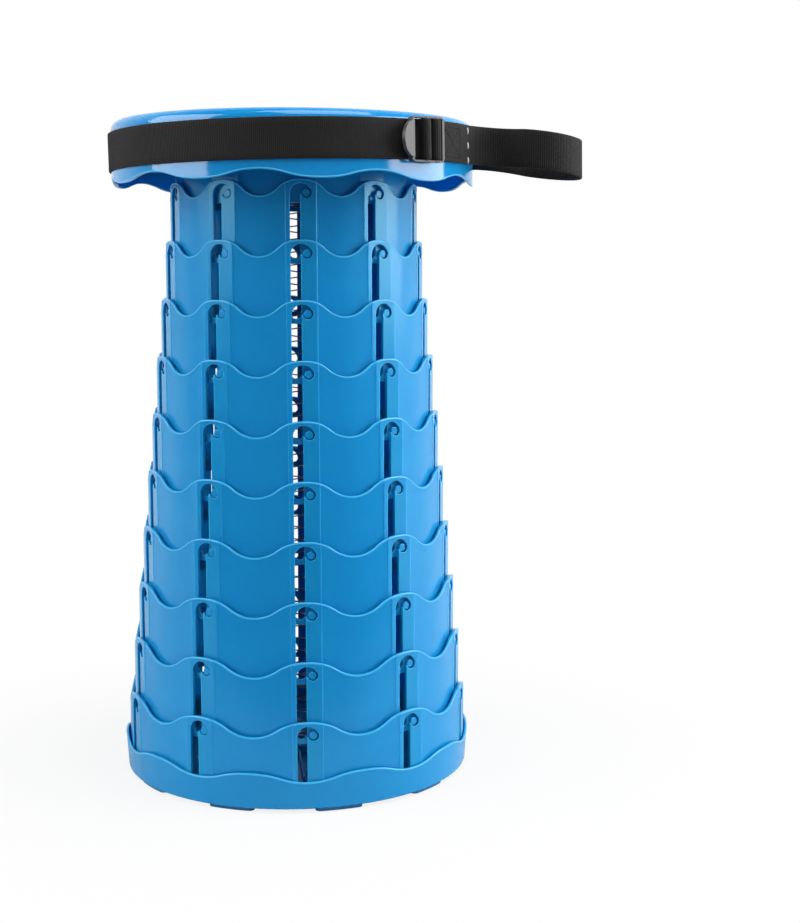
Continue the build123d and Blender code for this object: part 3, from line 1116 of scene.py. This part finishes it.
    @staticmethod
    def skin(
        name: str, points: np.ndarray, along: np.ndarray, across: np.ndarray
    ) -> bpy.types.Mesh:
        """Closed mesh over rows of points.

        Args:
            name: The mesh's name.
            points: Rows of points, each a closed outline.
            along: Length at each row.
            across: Place across the width of each point in a row.

        Returns:
            The mesh, with its length and width as a UV map.
        """
        rows, sides = points.shape[:2]
        index = np.arange(rows * sides).reshape(rows, sides)
        following = np.roll(index, -1, axis=1)
        quads = np.stack([index[:-1], following[:-1], following[1:], index[1:]], axis=-1)
        faces = [*quads.reshape(-1, 4).tolist(), index[0, ::-1].tolist(), index[-1].tolist()]
        mesh = bpy.data.meshes.new(name)
        mesh.from_pydata(points.reshape(-1, 3).tolist(), [], faces)
        shape = bmesh.new()
        shape.from_mesh(mesh)
        bmesh.ops.recalc_face_normals(shape, faces=shape.faces)
        shape.to_mesh(mesh)
        shape.free()
        corner = np.zeros(len(mesh.loops), np.int32)
        mesh.loops.foreach_get("vertex_index", corner)
        lay = np.stack([along[corner // sides], across[corner % sides]], axis=1)
        layer = mesh.uv_layers.new(name=WEBBING_UV)
        layer.data.foreach_set("uv", lay.astype(np.float32).ravel())
        mesh.polygons.foreach_set("use_smooth", [True] * len(mesh.polygons))
        return mesh

    def build(self, material: bpy.types.Material) -> None:
        """Makes the band and the carry loop."""
        for name, half, node in (
            ("webbing_band", self.band_half(), "strap_band"),
            ("webbing_loop", self.loop_half(), "carry_handle"),
        ):
            piece = self.strip(name, half, material)
            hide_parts(node)
            settle(piece, Body.SEAT.value)


@dataclass
class Buckles:
    """Ladder-lock buckles on the webbing, with slim rails, in millimetres."""

    straps: WebbingStraps
    drawn_middle: float = 427.0
    window_half: float = 12.95
    rail_share: float = 0.62

    def fitted(self, points: np.ndarray) -> np.ndarray:
        """Moves a drawn buckle up to the webbing.

        Args:
            points: The buckle's points as drawn.

        Returns:
            The same points, with the rails above and below the window made slim.
        """
        straps = self.straps
        slope = math.tan(math.radians(straps.tilt))
        rise = points[:, 2] - self.drawn_middle - points @ straps.outward * slope
        rail = np.clip(np.abs(rise) - self.window_half, 0, None)
        slimming = np.sign(rise) * rail * (1 - self.rail_share)
        lift = straps.middle - self.drawn_middle - slimming
        return points + lift[:, None] * UP

    def build(self, material: bpy.types.Material) -> None:
        """Makes both buckles from their drawn solids."""
        for node in ("buckle_front", "buckle_rear"):
            recast(node, Body.SEAT.value, material, self.fitted)


@dataclass
class Stitching:
    """Stitches on the carry loop's doubled ends, in millimetres and degrees from the handle."""

    straps: WebbingStraps
    box_near: float = 22.8
    box_far: float = 32.3
    box_half_height: float = 9.3
    tack_at: float = 16.8
    tack_low: float = -10.6
    tack_top: float = 8.6
    tack_pitch: float = 9.2
    tack_length: float = 5.0
    tack_thread: float = 0.72
    pitch: float = 2.0
    length: float = 1.7
    thread: float = 0.36

    def on_face(self, lead: float, height: float) -> np.ndarray:
        """Point on the outside of the doubled webbing."""
        straps = self.straps
        radius = straps.inner + 2 * straps.thickness
        way = math.radians(straps.handle_angle + lead)
        across, ahead = radius * math.sin(way), -radius * math.cos(way)
        return straps.askew(np.array([across, ahead, straps.middle + height]))

    def run(self, start: Point, end: Point, steps: int = 12) -> np.ndarray:
        """Line of stitches between two places on the webbing, angle first and height second."""
        places = zip(*(
            first + (last - first) * np.linspace(0, 1, steps + 1) for first, last in zip(start, end)
        ))
        return np.stack([self.on_face(lead, height) for lead, height in places])

    def box(self, side: int) -> list[np.ndarray]:
        """Square with a cross, on one side of the handle."""
        near, far, top = self.box_near * side, self.box_far * side, self.box_half_height
        corners = [(near, -top), (near, top), (far, top), (far, -top)]
        edges = [self.run(a, b) for a, b in zip(corners, corners[1:] + corners[:1])]
        return [*edges, self.run(corners[0], corners[2]), self.run(corners[1], corners[3])]

    def tack(self, side: int) -> list[np.ndarray]:
        """Upright row at the foot of the loop, on one side of the handle."""
        lead = self.tack_at * side
        return [self.run((lead, self.tack_low), (lead, self.tack_top))]

    def tree(self, name: str, material: bpy.types.Material) -> ShapeTree:
        """Threads laid end to end along lines."""
        tree = ShapeTree(name, {
            "Pitch": self.pitch * MM,
            "Length": self.length * MM,
            "Thread radius": self.thread * MM,
        })
        graph = tree.graph
        lines = graph.field("GeometryNodeMeshToCurve", values={"Mesh": tree.size("Geometry")})
        marks = graph.node(
            "GeometryNodeCurveToPoints",
            {"mode": "LENGTH"},
            {"Curve": lines, "Length": tree.size("Pitch")},
        )
        turn = graph.field(
            "FunctionNodeAlignRotationToVector",
            {"axis": "X"},
            {"Vector": Field(graph, marks.outputs["Tangent"])},
        )
        bead = graph.field(
            "GeometryNodeMeshUVSphere", values={"Segments": 7, "Rings": 6, "Radius": 0.5}
        )
        scale = graph.field("ShaderNodeCombineXYZ", values={
            "X": tree.size("Length"),
            "Y": tree.size("Thread radius") * 2,
            "Z": tree.size("Thread radius") * 2,
        })
        stitches = graph.field("GeometryNodeInstanceOnPoints", values={
            "Points": Field(graph, marks.outputs["Points"]),
            "Instance": bead,
            "Rotation": turn,
            "Scale": scale,
        })
        return tree.close(stitches, material)

    def build(self, dark: bpy.types.Material, pale: bpy.types.Material) -> None:
        """Sews the boxes and the tacks."""
        boxes = line_mesh("box_stitches", [*self.box(-1), *self.box(1)])
        piece = self.tree("box_stitch", dark).grow("box_stitches", boxes)
        settle(piece, Body.SEAT.value)
        tacks = line_mesh("loop_tacks", [*self.tack(-1), *self.tack(1)])
        piece = self.tree("loop_tack", pale).grow(
            "loop_tacks",
            tacks,
            Pitch=self.tack_pitch * MM,
            Length=self.tack_length * MM,
            Thread_radius=self.tack_thread * MM,
        )
        settle(piece, Body.SEAT.value)


@dataclass(frozen=True)
class SoftBox:
    """Lamp of the studio: its place and its width and height in metres, its power in watts."""

    name: str
    place: tuple[float, float, float]
    size: Point
    power: float


@dataclass
class Studio:
    """Pale floor, soft light and the camera, in metres and degrees."""

    eye: tuple[float, float, float] = (0.00307, -1.09409, 0.34998)
    tilt: float = 7.079
    turn: float = 3.693
    lens: float = 60.855
    sensor: float = 36.0
    floor_half: float = 9.0
    floor_front: float = -0.31
    fade_start: float = 0.14
    fade_run: float = 0.22
    near_white: float = 0.85
    ambient: float = 0.32
    room: float = 0.08
    floor_grey: float = 0.6
    aim: tuple[float, float, float] = (0, 0, 0.25)
    boxes: tuple[SoftBox, ...] = (
        SoftBox("left_box", (-1.43, -0.44, 0.96), (1.3, 1.2), 22),
        SoftBox("right_box", (1.5, -0.15, 0.84), (1.5, 1.2), 33),
        SoftBox("top_box", (0.35, -0.7, 1.85), (1.4, 1.2), 20),
    )

    def seen(self, graph: Graph, *rays: str) -> Field:
        """1 for rays of the given kinds."""
        path = graph.node("ShaderNodeLightPath")
        kinds = [Field(graph, path.outputs[f"Is {name} Ray"]) for name in rays]
        return sum(kinds[1:], kinds[0]).clamped()

    @staticmethod
    def backdrop(depth: Field) -> Field:
        """1 behind the stool, 0 on the camera's side."""
        return (depth * 2 - 0.1).clamped()

    def floor(self) -> None:
        """Pale floor that keeps the stool's shadow."""
        half, front = self.floor_half, self.floor_front
        mesh = bpy.data.meshes.new("floor")
        corners = [(-half, front, 0), (half, front, 0), (half, half, 0), (-half, half, 0)]
        mesh.from_pydata(corners, [], [(0, 1, 2, 3)])
        piece = add_object("floor", mesh)
        material = bpy.data.materials.new("pale_floor")
        graph = blank_graph(material)
        place = graph.field("ShaderNodeTexCoord", output="Object")
        distance = graph.field(
            "ShaderNodeVectorMath", {"operation": "LENGTH"}, {0: place}, output="Value"
        )
        fade = ((distance - self.fade_start) / self.fade_run).clamped()
        share = self.near_white + (1 - self.near_white) * fade
        depth = graph.field("ShaderNodeSeparateXYZ", values={"Vector": place}, output="Y")
        mirrored = self.seen(graph, "Glossy") * self.backdrop(depth)
        seen = self.seen(graph, "Camera", "Transmission") + mirrored
        grey = (self.floor_grey, self.floor_grey, self.floor_grey, 1)
        dull = graph.field("ShaderNodeBsdfDiffuse", values={"Color": grey})
        white = graph.field("ShaderNodeEmission", values={"Color": (1, 1, 1, 1)})
        mixed = graph.field("ShaderNodeMixShader", values={0: seen * share, 1: dull, 2: white})
        graph.node("ShaderNodeOutputMaterial", values={"Surface": mixed})
        mesh.materials.append(material)

    def sky(self) -> None:
        """White surroundings that light the stool softly, with a dim room on the camera's side."""
        world = bpy.data.worlds.new("studio")
        bpy.context.scene.world = world
        graph = blank_graph(world)
        way = graph.field("ShaderNodeTexCoord", output="Generated")
        depth = graph.field("ShaderNodeSeparateXYZ", values={"Vector": way}, output="Y")
        mirrored = self.room + (1 - self.room) * self.backdrop(depth)
        strength = (self.ambient
                    + self.seen(graph, "Camera", "Transmission") * (1 - self.ambient)
                    + self.seen(graph, "Glossy") * (mirrored - self.ambient))
        white = {"Color": (1, 1, 1, 1), "Strength": strength}
        sky = graph.field("ShaderNodeBackground", values=white)
        graph.node("ShaderNodeOutputWorld", values={"Surface": sky})

    def lamp(self, box: SoftBox) -> None:
        """Hangs a soft box that points at the stool."""
        data = bpy.data.lights.new(box.name, "AREA")
        data.shape = "RECTANGLE"
        data.size, data.size_y = box.size
        data.energy = box.power
        lamp = add_object(box.name, data)
        lamp.location = box.place
        lamp.rotation_euler = look(box.place, self.aim)

    def camera(self) -> None:
        """Camera at the height and angle of the picture."""
        data = bpy.data.cameras.new("camera")
        data.sensor_fit = "AUTO"
        data.sensor_width = self.sensor
        data.lens = self.lens
        camera = add_object("camera", data)
        camera.location = self.eye
        camera.rotation_euler = (math.radians(90 - self.tilt), 0, math.radians(-self.turn))
        bpy.context.scene.camera = camera

    def build(self) -> None:
        """Sets up the floor, the light and the camera."""
        bpy.context.scene.view_settings.view_transform = "Standard"
        self.floor()
        self.sky()
        for box in self.boxes:
            self.lamp(box)
        self.camera()


def look(place: Sequence[float], aim: Sequence[float]) -> tuple[float, float, float]:
    """Turn of a lamp that hangs at a place and points at another.

    Args:
        place: Where it hangs.
        aim: What it points at.

    Returns:
        Euler angles.
    """
    ahead = np.array(aim, float) - np.array(place, float)
    level = math.hypot(ahead[0], ahead[1])
    return math.atan2(level, -ahead[2]), 0.0, math.atan2(-ahead[0], ahead[1])


# The edge colour of each finish below is a painted highlight along its rounded edges.
BLUE = MouldedPlastic(
    name="satin_blue_plastic",
    colour=(0.007, 0.26, 0.575, 1),
    cloud=(0.008, 0.272, 0.595, 1),
    edge=(0.05, 0.50, 0.88, 1),
    roughness=0.22,
    rounding=0.7 * MM,
    edge_highlight_share=0.75,
    gloss=(0.5, 0.97, 1.0, 1),
    glow=0.8,
)
SEAT_BLUE = replace(
    BLUE,
    name="glossy_blue_plastic",
    roughness=0.09,
    edge_highlight_share=0.5,
    gloss=(1, 1, 1, 1),
    shine=0.6,
)
# Lips in a lighter blue than the rings: a painted highlight along every wavy lip; the rolled lip
# itself is real.
LIP_HIGHLIGHT_BLUE = MouldedPlastic(
    name="lip_painted_highlight",
    colour=(0.03, 0.40, 0.78, 1),
    cloud=(0.035, 0.42, 0.80, 1),
    edge=(0.05, 0.50, 0.88, 1),
    roughness=0.22,
    rounding=0.3 * MM,
)
# Feet darker than the tray: painted shade for the shade under the tray; only their rougher finish
# and grain are their own.
SHADED_FOOT_BLUE = MouldedPlastic(
    name="foot_plastic_painted_shade",
    colour=(0.01, 0.16, 0.40, 1),
    cloud=(0.012, 0.19, 0.45, 1),
    edge=(0.03, 0.24, 0.52, 1),
    roughness=0.5,
    rounding=0.6 * MM,
    grain=0.15,
)
BLACK = MouldedPlastic(
    name="black_buckle_plastic",
    colour=(0.03, 0.029, 0.031, 1),
    cloud=(0.038, 0.036, 0.038, 1),
    edge=(0.12, 0.118, 0.12, 1),
    roughness=0.36,
    rounding=0.6 * MM,
)
STRAP = Webbing(
    name="ribbed_webbing",
    yarn=(0.0205, 0.019, 0.019, 1),
    # groove colour: painted shade between the ribs
    groove_shade=(0.0045, 0.004, 0.004, 1),
    rib=1.2 * MM,
    line=1.55 * MM,
)
DARK_THREAD = Thread("dark_thread", (0.007, 0.006, 0.006, 1), (0.002, 0.002, 0.002, 1))
PALE_THREAD = Thread("pale_thread", (0.62, 0.58, 0.55, 1), (0.36, 0.33, 0.31, 1))
STEEL = Wire("spring_steel", (0.36, 0.33, 0.31, 1), (0.18, 0.16, 0.15, 1))


def main() -> None:
    """Builds and dresses the stool, piece by piece."""
    logging.basicConfig(level=logging.INFO, format="%(name)s: %(message)s")
    blue = BLUE.material()
    lip = Lip()
    lip_tree = lip.tree(LIP_HIGHLIGHT_BLUE.material())
    rings = RingStack()
    rings.dress(blue)
    rings.build(lip, lip_tree)
    tray = BaseTray()
    tray.dress(blue, SHADED_FOOT_BLUE.material())
    tray.build(rings, lip, lip_tree)
    seat = Seat()
    seat.dress(SEAT_BLUE.material())
    seat.build(rings, lip, lip_tree)
    Spring().build(STEEL.material())
    straps = WebbingStraps()
    straps.build(STRAP.material())
    Buckles(straps).build(BLACK.material())
    Stitching(straps).build(DARK_THREAD.material(), PALE_THREAD.material())
    Studio().build()


if __name__ == "__main__":
    main()
